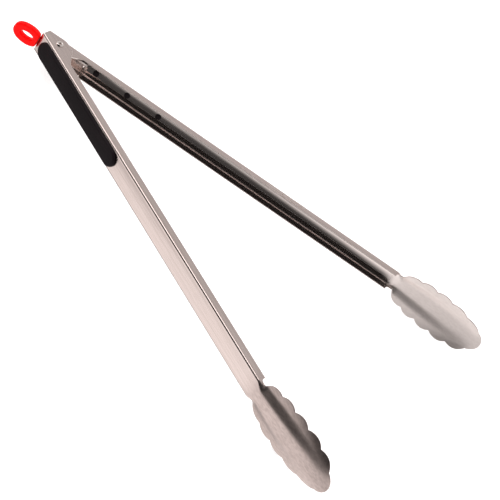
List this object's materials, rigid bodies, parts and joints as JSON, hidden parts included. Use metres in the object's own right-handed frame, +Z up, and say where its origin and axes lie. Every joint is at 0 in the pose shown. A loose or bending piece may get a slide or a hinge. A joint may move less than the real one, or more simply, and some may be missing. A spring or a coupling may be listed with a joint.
{
  "type": "spring loaded kitchen tongs",
  "caption": "Long kitchen tongs: channel arms with scalloped spoon heads, a sprung hinge, black grips and a red pull loop that slides to lock them shut.",
  "frame": {"origin": "on the surface that the tongs lie on, under the middle of the bounding box of the open tongs", "axes": "+X from the hinge towards the heads along the bisector of the arms, +Z up along the hinge axis, +Y towards the inner arm"},
  "size_m": [0.4616, 0.2702, 0.0435],
  "materials": {
    "arm_steel": "fine brushed stainless sheet, bright sheared edges",
    "lock_steel": "plain stamped steel",
    "rivet_steel": "bright turned steel",
    "spring_steel": "drawn spring wire",
    "grip_rubber": "soft matt black rubber",
    "loop_plastic": "glossy moulded red"
  },
  "bodies": {
    "outer_half": {"outer_arm": "arm_steel", "outer_grip": "grip_rubber", "lock_catch": "lock_steel", "pivot_rivet": "rivet_steel", "spacer_sleeve": "lock_steel", "torsion_spring": "spring_steel"},
    "inner_half": {"inner_arm": "arm_steel", "inner_grip": "grip_rubber"},
    "lock": {"lock_slide": "lock_steel", "lower_lock_stud": "rivet_steel", "upper_lock_stud": "rivet_steel", "pull_loop": "loop_plastic"}
  },
  "joints": [
    {"name": "arm_hinge", "type": "hinge", "parent": "outer_half", "child": "inner_half", "pos_m": [-0.19127, 0, 0.02176], "axis": [0, 0, 1], "range_deg": [-34.85, 0], "stiffness_Nm_per_rad": 0.35, "springref_deg": 6.88, "deforming": ["torsion_spring"]},
    {"name": "lock_pull", "type": "slide", "parent": "inner_half", "child": "lock", "axis": [-0.9513, -0.3082, 0], "range_m": [0, 0.011]}
  ]
}
